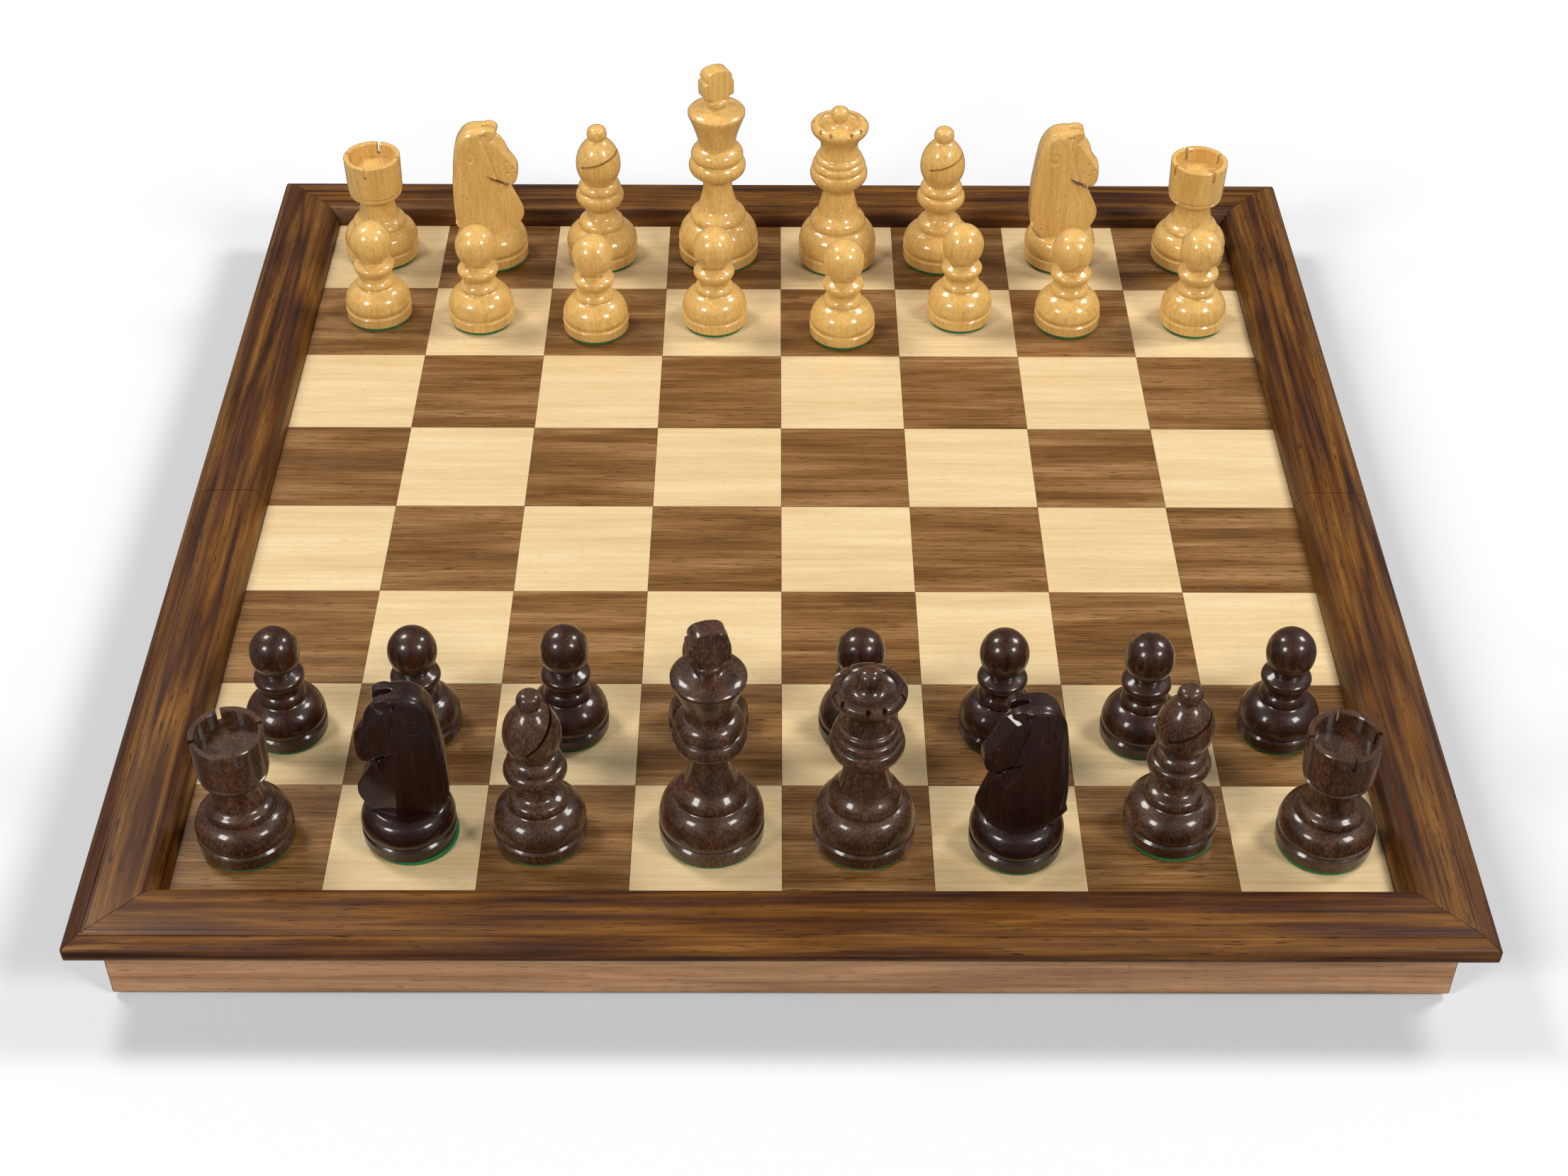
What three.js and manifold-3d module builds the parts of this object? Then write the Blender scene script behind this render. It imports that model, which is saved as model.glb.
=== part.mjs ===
// Folding wooden chess board with its 32 turned pieces. Millimetres, +Z up, +X to the right of the
// dark player, who sits at -Y. The origin is the centre of the board, on the surface it stands on.
import * as THREE from 'three';
import { mergeVertices } from 'three/addons/utils/BufferGeometryUtils.js';
import Module from 'manifold-3d';

const wasm = await Module();
wasm.setup();

// Driving dimensions: the board
const SQUARE = 44.45;             // side of a playing square
const FIELD_HALF = 4 * SQUARE;    // centre of the board to the edge of the playing field
const CASE_DEPTH = 23.5;          // rim of the box to the playing surface
const MOULDING_WIDTH = 25;
const MOULDING_RISE = 6.9;        // moulding's flat top above the playing surface
const WALL_THICKNESS = 9;
const WALL_TOP_DROP = 1;          // wall's top below the playing surface
const PANEL_THICKNESS = 5;
const PANEL_LAP = 7.3;            // panel runs this far under the moulding
const LINING_THICKNESS = 1.2;
const SEAM = 0.3;                 // slit between the two halves
const GLUE_LINE = 0.15;           // between parts of a half
const FIT = 0.3;                  // clearance round inset metal parts

// Driving dimensions: hinges and magnets
const BARREL_RADIUS = 1.2;
const BORE_RADIUS = 0.75;
const PIN_RADIUS = 0.6;
const LEAF_LENGTH = 27;
const LEAF_REACH = 8;             // seam to the leaf's far edge
const LEAF_THICKNESS = 1;
const HINGE_X = 120;
const MAGNET_RADIUS = 3;
const MAGNET_DEPTH = 3;
const MAGNET_X = 150;

// Heights that follow
const AXIS_Z = BARREL_RADIUS;                 // fold axis: the barrels touch the table
const RIM_Z = AXIS_Z + SEAM / 2;              // rims stay SEAM apart when the board is shut
const SURFACE_Z = RIM_Z + CASE_DEPTH;         // playing surface
const PANEL_BOTTOM_Z = SURFACE_Z - PANEL_THICKNESS;
const WALL_INNER = FIELD_HALF + PANEL_LAP + FIT;
const WALL_OUTER = WALL_INNER + WALL_THICKNESS;

const STANDING_GAP = 0.1;         // under each piece's felt
const PIECE_SIDES = 14;
const PAWN_SIDES = 12;
const BARREL_SIDES = 16;          // even, so that a corner of the barrel is its lowest point

const board = new THREE.Group();

const finishes = {
  walnut: { color: 0x6b4629, roughness: 0.45 },
  walnutWall: { color: 0x866750, roughness: 0.5 },
  panel: { color: 0xa58a62, roughness: 0.4 },
  felt: { color: 0x0f6b3a, roughness: 1 },
  brass: { color: 0xb08d4a, roughness: 0.3, metalness: 1 },
  magnet: { color: 0xb9bcc0, roughness: 0.25, metalness: 1 },
  lightWood: { color: 0xdcb274, roughness: 0.25 },
  darkWood: { color: 0x3b1f17, roughness: 0.25 },
};

function addPart(group, name, geometry, finish) {
  const mesh = new THREE.Mesh(geometry, new THREE.MeshStandardMaterial(finishes[finish]));
  mesh.name = name;
  group.add(mesh);
  return mesh;
}

// Geometry to solid and back, for cutting and joining.
function toSolid(geometry) {
  const bare = geometry.clone();
  bare.deleteAttribute('normal');
  bare.deleteAttribute('uv');
  const merged = mergeVertices(bare, 1e-4);
  const corners = [];
  for (let i = 0; i < merged.index.count; i += 3) {
    const face = [0, 1, 2].map((k) => merged.index.getX(i + k));
    if (new Set(face).size === 3) corners.push(...face);
  }
  return new wasm.Manifold(new wasm.Mesh({
    numProp: 3,
    vertProperties: new Float32Array(merged.attributes.position.array),
    triVerts: new Uint32Array(corners),
  }));
}

function toGeometry(solid) {
  const mesh = solid.getMesh();
  const geometry = new THREE.BufferGeometry();
  geometry.setAttribute('position', new THREE.BufferAttribute(mesh.vertProperties, 3));
  geometry.setIndex(new THREE.BufferAttribute(mesh.triVerts, 1));
  geometry.computeVertexNormals();
  return geometry;
}

const cut = (body, ...tools) =>
  toGeometry(tools.reduce((left, tool) => left.subtract(toSolid(tool)), toSolid(body)));
const join = (body, ...others) =>
  toGeometry(others.reduce((whole, other) => whole.add(toSolid(other)), toSolid(body)));

const overlap = (body, other) => toGeometry(toSolid(body).intersect(toSolid(other)));

function block(low, high) {
  const size = high.map((value, i) => value - low[i]);
  const middle = high.map((value, i) => (value + low[i]) / 2);
  return new THREE.BoxGeometry(...size).translate(...middle);
}

// A turned shape from [radius, height] points; both ends are closed on the axis.
function turned(points, sides) {
  const outline = [[0, points[0][1]], ...points, [0, points.at(-1)[1]]];
  const lathe = new THREE.LatheGeometry(outline.map(([r, z]) => new THREE.Vector2(r, z)), sides);
  return toGeometry(toSolid(lathe.rotateX(Math.PI / 2)));
}

// ---------- board ----------

// Section of the moulding: x is the distance out from the playing field, y the height above it.
function mouldingSection() {
  const lap = PANEL_LAP + GLUE_LINE;
  const section = new THREE.Shape();
  section.moveTo(0, GLUE_LINE);
  section.quadraticCurveTo(0.6, MOULDING_RISE, 5.2, MOULDING_RISE);
  section.lineTo(20, MOULDING_RISE - 0.1);
  section.quadraticCurveTo(23.5, 6.4, 24.7, 4.2);
  section.quadraticCurveTo(MOULDING_WIDTH + 0.6, 1.6, 24.2, 0);
  section.lineTo(22.8, GLUE_LINE - WALL_TOP_DROP);
  section.lineTo(lap, GLUE_LINE - WALL_TOP_DROP);
  section.lineTo(lap, GLUE_LINE);
  return section;
}

// Section of the box's outer wall, in the same measure.
function wallSection() {
  const inner = WALL_INNER - FIELD_HALF;
  const outer = WALL_OUTER - FIELD_HALF;
  const section = new THREE.Shape();
  section.moveTo(inner, -CASE_DEPTH);
  section.lineTo(outer, -CASE_DEPTH);
  section.lineTo(outer, -WALL_TOP_DROP);
  section.lineTo(inner, -WALL_TOP_DROP);
  return section;
}

// A straight bar with the given section. place(out, up, end) gives the point for a corner of the
// section at the bar's first (end 0) or last (end 1) face, so mitred ends need no cut.
function bar(section, place) {
  const raw = new THREE.ExtrudeGeometry(section, { depth: 1, bevelEnabled: false, curveSegments: 4 });
  const position = raw.attributes.position;
  for (let i = 0; i < position.count; i++) {
    const point = place(position.getX(i), SURFACE_Z + position.getY(i), position.getZ(i));
    position.setXYZ(i, ...point);
  }
  return toGeometry(toSolid(raw));
}

// The bar along X at the end of a half, mitred at both ends.
const endBar = (section) => bar(section, (out, up, end) => {
  const reach = FIELD_HALF + out - GLUE_LINE;
  return [end ? reach : -reach, FIELD_HALF + out, up];
});

// The bar along Y on one side of a half (side is -1 or 1): square at the seam, mitred at the end.
const sideBar = (section, side) => bar(section, (out, up, end) => {
  const mitred = (side > 0) === (end === 0);
  return [side * (FIELD_HALF + out), mitred ? FIELD_HALF + out - GLUE_LINE : SEAM / 2, up];
});

// Pocket for a hinge leaf and the barrel, open at the rim and at the seam.
const hingePocket = (x) => block(
  [x - LEAF_LENGTH / 2 - FIT, -1, 0],
  [x + LEAF_LENGTH / 2 + FIT, LEAF_REACH + FIT, RIM_Z + LEAF_THICKNESS + FIT],
);

const disc = (radius, x, y, low, high) =>
  turned([[radius, low], [radius, high]], PIECE_SIDES).translate(x, y, 0);

// One half of the board, built over +Y; turned half round about Z it is the other one.
function boardHalf(name, turn, [minusSide, plusSide]) {
  const half = new THREE.Group();
  half.rotation.z = turn;
  board.add(half);
  const add = (part, geometry, finish) => addPart(half, `${name}_${part}`, geometry, finish);

  const panelReach = FIELD_HALF + PANEL_LAP;
  add('panel', block([-panelReach, SEAM / 2, PANEL_BOTTOM_Z], [panelReach, panelReach, SURFACE_Z]), 'panel');
  add('end_rail', endBar(mouldingSection()), 'walnut');
  add(`${minusSide}_rail`, sideBar(mouldingSection(), -1), 'walnut');
  add(`${plusSide}_rail`, sideBar(mouldingSection(), 1), 'walnut');

  const magnetY = (WALL_INNER + WALL_OUTER) / 2;
  const magnetHoles = [-1, 1].map((side) =>
    disc(MAGNET_RADIUS + FIT, side * MAGNET_X, magnetY, 0, RIM_Z + MAGNET_DEPTH + FIT));
  add('end_wall', cut(endBar(wallSection()), ...magnetHoles), 'walnutWall');
  add(`${minusSide}_wall`, sideBar(wallSection(), -1), 'walnutWall');
  add(`${plusSide}_wall`, sideBar(wallSection(), 1), 'walnutWall');

  const spineReach = WALL_INNER - GLUE_LINE;
  const spine = block(
    [-spineReach, SEAM / 2, RIM_Z],
    [spineReach, SEAM / 2 + WALL_THICKNESS, PANEL_BOTTOM_Z - GLUE_LINE],
  );
  add('spine_wall', cut(spine, hingePocket(-HINGE_X), hingePocket(HINGE_X)), 'walnutWall');

  const liningReach = WALL_INNER - FIT;
  add('lining', block(
    [-liningReach, SEAM / 2 + WALL_THICKNESS + FIT, PANEL_BOTTOM_Z - GLUE_LINE - LINING_THICKNESS],
    [liningReach, liningReach, PANEL_BOTTOM_Z - GLUE_LINE],
  ), 'felt');

  for (const [side, sideName] of [[-1, minusSide], [1, plusSide]]) {
    const magnet = disc(MAGNET_RADIUS, side * MAGNET_X, magnetY, RIM_Z, RIM_Z + MAGNET_DEPTH);
    add(`${sideName}_magnet`, magnet, 'magnet');
  }
}

// ---------- hinges ----------

// A tube or a rod along X, on the fold axis.
function alongAxis(points, from) {
  const lathe = new THREE.LatheGeometry(points.map(([r, x]) => new THREE.Vector2(r, x)), BARREL_SIDES);
  return lathe.rotateZ(-Math.PI / 2).translate(from, 0, AXIS_Z);
}

const knuckle = (from, length) => alongAxis([
  [BORE_RADIUS, 0], [BARREL_RADIUS, 0], [BARREL_RADIUS, length], [BORE_RADIUS, length], [BORE_RADIUS, 0],
], from);

// side is 1 for the leaf on the far half and -1 for the one on the near half.
function hingeLeaf(x, side, knuckles) {
  const ySpan = (a, b) => [Math.min(side * a, side * b), Math.max(side * a, side * b)];
  const plateTop = RIM_Z + LEAF_THICKNESS;
  const [low, high] = ySpan(BARREL_RADIUS + FIT, LEAF_REACH);
  const plate = block([x - LEAF_LENGTH / 2, low, RIM_Z], [x + LEAF_LENGTH / 2, high, plateTop]);
  const [tabLow, tabHigh] = ySpan(BORE_RADIUS + 0.1, BARREL_RADIUS + 2 * FIT);
  const pieces = knuckles.flatMap(([from, length]) => [
    knuckle(from, length),
    block([from, tabLow, RIM_Z], [from + length, tabHigh, plateTop]),
  ]);
  return join(plate, ...pieces);
}

function hinge(sideName, x) {
  const third = LEAF_LENGTH / 3;
  const start = x - LEAF_LENGTH / 2;
  const length = third - FIT;
  const outer = [[start, length], [start + 2 * third + FIT, length]];
  const middle = [[start + third, third]];
  addPart(board, `far_${sideName}_hinge_leaf`, hingeLeaf(x, 1, outer), 'brass');
  addPart(board, `near_${sideName}_hinge_leaf`, hingeLeaf(x, -1, middle), 'brass');
  const pin = alongAxis([[0, 0], [PIN_RADIUS, 0], [PIN_RADIUS, LEAF_LENGTH], [0, LEAF_LENGTH]], start);
  addPart(board, `${sideName}_hinge_pin`, toGeometry(toSolid(pin)), 'brass');
}

// ---------- chess pieces ----------
// Outlines are [radius, height] above the underside of the felt, which is the first step.

// Foot shared by the pieces: felt, plinth, bulge and collar. radius is the plinth's, collar the
// radius and height where the stem starts.
const foot = (radius, collar) => [
  [radius - 0.7, 0], [radius - 0.7, 1.2], [radius, 1.2], [radius, 0.54 * collar[1]],
  [0.81 * radius, 0.85 * collar[1]], collar,
];

const KING_FOOT = foot(15.6, [10.8, 18.6]);
const QUEEN_FOOT = foot(15.2, [10.9, 17.9]);
const BISHOP_FOOT = foot(13.8, [8.8, 16.4]);
const KNIGHT_FOOT = foot(13.9, [10, 14.4]);
const ROOK_FOOT = foot(14.3, [10.3, 15.2]);
const PAWN_FOOT = foot(12.4, [7.3, 15.8]);

// Outline of the king's cross, right half, from the foot up; the left half mirrors it.
const CROSS_RIGHT = [
  [3.4, 66], [3.4, 69.5], [3.9, 71], [5.6, 72], [5.6, 77.4], [4.4, 78], [5, 79.4], [3, 81.6],
];
const CROSS_THICKNESS = 6.2;

function plate(points, thickness, bevel = 0) {
  const shape = new THREE.Shape(points.map(([x, z]) => new THREE.Vector2(x, z)));
  const options = {
    depth: thickness - 2 * bevel, bevelEnabled: bevel > 0, bevelThickness: bevel, bevelSize: bevel,
    bevelOffset: -bevel, bevelSegments: 1,
  };
  const slab = new THREE.ExtrudeGeometry(shape, options);
  return slab.translate(0, 0, bevel - thickness / 2).rotateX(Math.PI / 2);
}

function king(crossTurn) {
  const body = turned([
    ...KING_FOOT, [7.9, 22.6], [5.6, 31.5], [5.6, 34.6], [10.6, 39.5], [10.3, 43.6], [9, 47.8], [7, 49.6],
    [10.9, 63.2], [10.2, 64.9], [4.7, 66.6], [4.7, 69],
  ], PIECE_SIDES);
  const left = CROSS_RIGHT.map(([x, z]) => [-x, z]).reverse();
  const cross = plate([...CROSS_RIGHT, [0, 82.3], ...left], CROSS_THICKNESS);
  return join(body, cross.rotateZ(crossTurn));
}

const queen = () => turned([
  ...QUEEN_FOOT, [7.9, 22.2], [5.9, 31], [10.5, 37.4], [10.5, 42.2], [9.1, 46], [7, 50], [7.3, 53],
  [11, 59], [8, 61], [2.6, 61.5], [3.5, 64.3], [2, 67.2],
], PIECE_SIDES);

const bishop = () => turned([
  ...BISHOP_FOOT, [5.6, 19.5], [4.8, 22.2], [9.2, 27.8], [8.6, 31], [6.2, 34.8], [8.3, 40.5], [8, 46],
  [2.9, 53], [3.7, 55.2], [2, 58.2],
], PIECE_SIDES);

function rook() {
  const wallTop = 44.2;
  const body = turned([
    ...ROOK_FOOT, [7.9, 18], [6.7, 25.3], [9.8, 28], [10.7, 40], [10.8, wallTop],
    [8.9, wallTop], [8.9, 38.5],
  ], PIECE_SIDES);
  const slot = (wide, deep) => block([-wide, -deep, wallTop - 4.5], [wide, deep, wallTop + 1]);
  return cut(body, slot(0.65, 12), slot(12, 0.65));
}

const pawn = () => turned([
  ...PAWN_FOOT, [5.8, 18.8], [7.6, 22.6], [4.8, 25.6], [7, 29], [7.4, 33], [6, 37.6], [2.4, 40.4],
], PAWN_SIDES);

// Side view of the knight's carved head and chest; it looks along +X.
const KNIGHT_OUTLINE = [
  [-10, 13.6], [10.2, 13.6], [13.4, 20.2], [9, 32.5], [5, 34.5], [1.6, 38.6], [7, 34.3], [12, 36], [12.1, 42],
  [9, 48], [5.6, 55], [5, 57.6], [-1, 58.4], [-8, 56], [-11.4, 48], [-13, 36], [-13.2, 26], [-12.4, 18],
];
// Front view, right half from the foot up: the neck tapers towards the ears.
const KNIGHT_FRONT = [[7.4, 13.6], [7.2, 26], [6.6, 36], [5.6, 48], [4.6, 58.4]];

function knight() {
  const left = KNIGHT_FRONT.map(([y, z]) => [-y, z]).reverse();
  const front = plate([...KNIGHT_FRONT, ...left], 40).rotateZ(Math.PI / 2);
  return join(turned(KNIGHT_FOOT, PIECE_SIDES), overlap(plate(KNIGHT_OUTLINE, 20), front));
}

const degrees = (angle) => THREE.MathUtils.degToRad(angle);

// How each piece was set down: square from the left, shift off the square's middle in X and Y, turn.
const LIGHT_BACK_RANK = [
  ['rook_left', rook, -2, 2.5, 0], ['knight_left', knight, -2.7, 1.2, 0],
  ['bishop_left', bishop, -3.7, 0.8, 0], ['king', () => king(degrees(27)), -2.4, 2.5, 0],
  ['queen', queen, 0, 0, 0], ['bishop_right', bishop, -4.5, 0.4, 0],
  ['knight_right', knight, -1, 1, 0], ['rook_right', rook, 5.5, 1, 0],
];
const DARK_BACK_RANK = [
  ['rook_left', rook, -2.5, 0.3, 0], ['knight_left', knight, 1, 3, 190],
  ['bishop_left', bishop, -4.8, 2.1, 0], ['king', () => king(degrees(10)), 1.4, 3.2, 0],
  ['queen', queen, 1.9, 2.2, 0], ['knight_right', knight, 2.2, -0.9, 190],
  ['bishop_right', bishop, 4, 5, 0], ['rook_right', rook, 4.7, 0, 0],
];
const LIGHT_PAWN_SHIFTS = [
  [2, 4.5], [-3, 2], [-3.5, -4], [-3, 1], [1, -7], [1.5, 4], [-2, 0.5], [1.5, 1],
];
const DARK_PAWN_SHIFTS = [
  [2.4, 1.8], [-0.6, 2.3], [0.7, 3], [-0.5, 2.2], [1.5, 2], [0.5, 1.7], [-0.2, 0], [-1.6, 2.5],
];

const pawnRank = (shifts) => shifts.map(([x, y], i) => [`pawn_${i + 1}`, pawn, x, y, 0]);

// rank is the row's middle in squares from the centre of the board.
function setRank(army, row, rank, finish) {
  row.forEach(([name, make, shiftX, shiftY, turn], file) => {
    const piece = addPart(board, `${army}_${name}`, make(), finish);
    const x = (file - 3.5) * SQUARE + shiftX;
    piece.position.set(x, rank * SQUARE + shiftY, SURFACE_Z + STANDING_GAP);
    piece.rotation.z = degrees(turn);
  });
}

boardHalf('far', 0, ['left', 'right']);
boardHalf('near', Math.PI, ['right', 'left']);
hinge('left', -HINGE_X);
hinge('right', HINGE_X);
setRank('light', LIGHT_BACK_RANK, 3.5, 'lightWood');
setRank('light', pawnRank(LIGHT_PAWN_SHIFTS), 2.5, 'lightWood');
setRank('dark', pawnRank(DARK_PAWN_SHIFTS), -2.5, 'darkWood');
setRank('dark', DARK_BACK_RANK, -3.5, 'darkWood');

export default board;
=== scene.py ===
"""Folding walnut chess board with boxwood and dark stained pieces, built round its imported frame."""
from math import cos, pi, radians, sin

import bpy
from mathutils import Matrix, Vector


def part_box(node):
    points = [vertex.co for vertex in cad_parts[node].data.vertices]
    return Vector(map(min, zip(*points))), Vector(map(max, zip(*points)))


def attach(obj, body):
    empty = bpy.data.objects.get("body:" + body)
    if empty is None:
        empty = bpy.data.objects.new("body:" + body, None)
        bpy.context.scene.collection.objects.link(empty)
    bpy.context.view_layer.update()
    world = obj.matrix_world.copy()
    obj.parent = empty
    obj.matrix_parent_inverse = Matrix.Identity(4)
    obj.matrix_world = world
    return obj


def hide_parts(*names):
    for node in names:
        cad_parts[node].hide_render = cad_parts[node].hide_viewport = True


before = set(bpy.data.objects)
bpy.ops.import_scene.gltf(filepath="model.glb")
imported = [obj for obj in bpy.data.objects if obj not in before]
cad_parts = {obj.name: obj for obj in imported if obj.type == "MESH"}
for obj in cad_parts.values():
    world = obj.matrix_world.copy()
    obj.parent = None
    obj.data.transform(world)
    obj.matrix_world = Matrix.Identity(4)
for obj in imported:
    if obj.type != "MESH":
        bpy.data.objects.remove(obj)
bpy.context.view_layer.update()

MM = 0.001
BODY = {"far": "far_half", "near": "near_half"}
SAME = 1e-6                              # vertices closer than this, in metres, are one


# ---------- places taken from the frame ----------

def low(node):
    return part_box(node)[0]


def high(node):
    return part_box(node)[1]


SURFACE = high("far_panel").z            # playing surface
RIM = low("far_end_wall").z              # underside of the box's walls
FIELD = low("far_end_rail").y            # centre of the board to the edge of the playing field
SQUARE = FIELD / 4
BOARD = high("far_end_rail").y           # centre of the board to the moulding's outer edge
SEAM = low("far_panel").y                # half of the slit between the two halves
GLUE = 0.1 * MM                          # half of the joint between two glued parts


def foot_centre(node):
    """Middle of a chess piece's underside."""
    corners = [v.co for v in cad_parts[node].data.vertices]
    ground = min(c.z for c in corners)
    ring = [c for c in corners if c.z < ground + 0.1 * MM]
    middle = [(min(c[axis] for c in ring) + max(c[axis] for c in ring)) / 2 for axis in (0, 1)]
    return Vector((*middle, ground))


# ---------- modelling ----------

def start(add, name, **settings):
    """A new primitive, alone in the selection."""
    bpy.ops.object.select_all(action="DESELECT")
    add(**settings)
    piece = bpy.context.active_object
    piece.name = name
    bpy.ops.object.transform_apply(location=True, rotation=True, scale=True)
    return piece


def pick(piece):
    bpy.ops.object.select_all(action="DESELECT")
    bpy.context.view_layer.objects.active = piece
    piece.select_set(True)


def edit(piece):
    pick(piece)
    bpy.ops.object.mode_set(mode="EDIT")
    bpy.ops.mesh.select_all(action="SELECT")


def leave():
    bpy.ops.object.mode_set(mode="OBJECT")


def set_modifier(piece, kind, **settings):
    """Adds a modifier and applies it."""
    pick(piece)
    modifier = piece.modifiers.new(kind.lower(), kind)
    for name, value in settings.items():
        setattr(modifier, name, value)
    bpy.ops.object.modifier_apply(modifier=modifier.name)


def combine(piece, tool, operation="DIFFERENCE"):
    """Cuts the tool out of the piece, or unites the two. The tool is used up."""
    set_modifier(piece, "BOOLEAN", operation=operation, object=tool, solver="EXACT")
    bpy.data.objects.remove(tool)


def join(pieces):
    """Several objects become the first one."""
    pick(pieces[0])
    for piece in pieces[1:]:
        piece.select_set(True)
    bpy.ops.object.join()
    return pieces[0]


def block(name, low_corner, high_corner, bevel=0.0, segments=2):
    low_corner, high_corner = Vector(low_corner), Vector(high_corner)
    piece = start(bpy.ops.mesh.primitive_cube_add, name, size=1,
                  location=(low_corner + high_corner) / 2, scale=high_corner - low_corner)
    if bevel:
        set_modifier(piece, "BEVEL", width=bevel, segments=segments)
    return piece


def smooth(piece, angle=32):
    pick(piece)
    bpy.ops.object.shade_smooth_by_angle(angle=radians(angle))


def twin(piece, name, move):
    """A copy with a mesh of its own, moved by a matrix."""
    copy = piece.copy()
    copy.data = piece.data.copy()
    copy.name = copy.data.name = name
    copy.data.transform(move)
    bpy.context.scene.collection.objects.link(copy)
    return copy


def bend_through(run, parts):
    """Points on a smooth curve through the points of a run."""
    if len(run) < 3:
        return list(run)
    ends = [run[0], *run, run[-1]]
    points = []
    for i in range(len(run) - 1):
        before, here, ahead, beyond = (Vector(p) for p in ends[i:i + 4])
        for step in range(parts):
            t = step / parts
            points.append(0.5 * (2 * here + (ahead - before) * t
                                 + (2 * before - 5 * here + 4 * ahead - beyond) * t ** 2
                                 + (3 * here - before - 3 * ahead + beyond) * t ** 3))
    return points + [Vector(run[-1])]


def outline(runs, parts=4):
    """One outline in metres from runs of points in mm: smooth within a run, sharp between runs."""
    points = []
    for run in runs:
        for across, up in bend_through(run, parts):
            point = Vector((across, up)) * MM
            if not points or (point - points[-1]).length > 2 * SAME:
                points.append(point)
    return points


def trace(name, points):
    """A line through the points, drawn by extruding one vertex."""
    line = start(bpy.ops.mesh.primitive_plane_add, name, size=MM)
    edit(line)
    bpy.ops.mesh.merge(type="CENTER")
    bpy.ops.transform.translate(value=points[0])
    for here, ahead in zip(points, points[1:]):
        bpy.ops.mesh.extrude_region_move(TRANSFORM_OT_translate={"value": ahead - here})
    leave()
    return line


def turn(name, runs, steps=56):
    """A turned piece from runs of [radius, height] in mm."""
    piece = trace(name, [Vector((p.x, 0, p.y)) for p in outline(runs)])
    edit(piece)
    bpy.ops.mesh.spin(steps=steps, angle=2 * pi, center=(0, 0, 0), axis=(0, 0, 1))
    bpy.ops.mesh.select_all(action="SELECT")
    bpy.ops.mesh.remove_doubles(threshold=SAME)
    bpy.ops.mesh.normals_make_consistent(inside=False)
    leave()
    return piece


def slab(name, points, thickness):
    """A plate of the given outline: points are in 3-D, thickness is a vector."""
    piece = trace(name, points)
    edit(piece)
    bpy.ops.mesh.edge_face_add()
    bpy.ops.mesh.extrude_region_move(TRANSFORM_OT_translate={"value": thickness})
    bpy.ops.mesh.select_all(action="SELECT")
    bpy.ops.mesh.normals_make_consistent(inside=False)
    leave()
    return piece


def trim(piece, point, normal):
    """Saws off what lies beyond a plane."""
    edit(piece)
    bpy.ops.mesh.bisect(plane_co=point, plane_no=Vector(normal).normalized(), use_fill=True,
                        clear_outer=True, threshold=SAME / 10)
    leave()


def about_z(degrees, place=(0, 0, 0)):
    return Matrix.Translation(place) @ Matrix.Rotation(radians(degrees), 4, "Z")


# ---------- materials ----------

MIX_A, MIX_B, MIX_RESULT = 6, 7, 2       # colour sockets of the Mix node
RING_WEIGHT = 0.38                       # of the growth lines, against the fine grain's 1
DARKEST_AT = 0.38                        # sum of the two that gives the darkest wood; 1 gives the palest
PORE_EDGE = (0.60, 0.72)                 # noise values where an open pore begins and where it is full
FELT_TUFT = 0.6 * MM                     # size of felt's tufts, each of a few fibres
SHINE_PATCH = (9, 24)                    # mm across and along, of duller and brighter lacquer


def linear(colour):
    """Linear RGBA from an sRGB hex colour."""
    parts = [int(colour[i:i + 2], 16) / 255 for i in (1, 3, 5)]
    return (*(c / 12.92 if c <= 0.04045 else ((c + 0.055) / 1.055) ** 2.4 for c in parts), 1)


def add_node(material, kind, inputs=None, stops=None, **settings):
    """Adds a node. inputs are values or sockets to link; stops are a ramp's places and values."""
    tree = material.node_tree
    node = tree.nodes.new("ShaderNode" + kind)
    for name, value in settings.items():
        setattr(node, name, value)
    for name, value in (inputs or {}).items():
        if isinstance(value, bpy.types.NodeSocket):
            tree.links.new(value, node.inputs[name])
        else:
            node.inputs[name].default_value = value
    if stops:
        marks = node.color_ramp.elements
        while len(marks) < len(stops):
            marks.new(0.5)
        for mark, (place, colour) in zip(marks, stops):
            mark.position = place
            mark.color = linear(colour) if isinstance(colour, str) else (colour, colour, colour, 1)
    return node


def new_material(name):
    """An empty node material and its shader."""
    material = bpy.data.materials.new(name)
    material.use_nodes = True
    return material, material.node_tree.nodes["Principled BSDF"]


def stretched(material, coordinates, grain, across, along):
    """Coordinates counted in lengths of the given mm, with the grain's axis on its own length."""
    counts = [1 / (along * MM) if axis == grain else 1 / (across * MM) for axis in "XYZ"]
    return add_node(material, "Mapping", {"Vector": coordinates, "Scale": counts}).outputs["Vector"]


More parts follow.
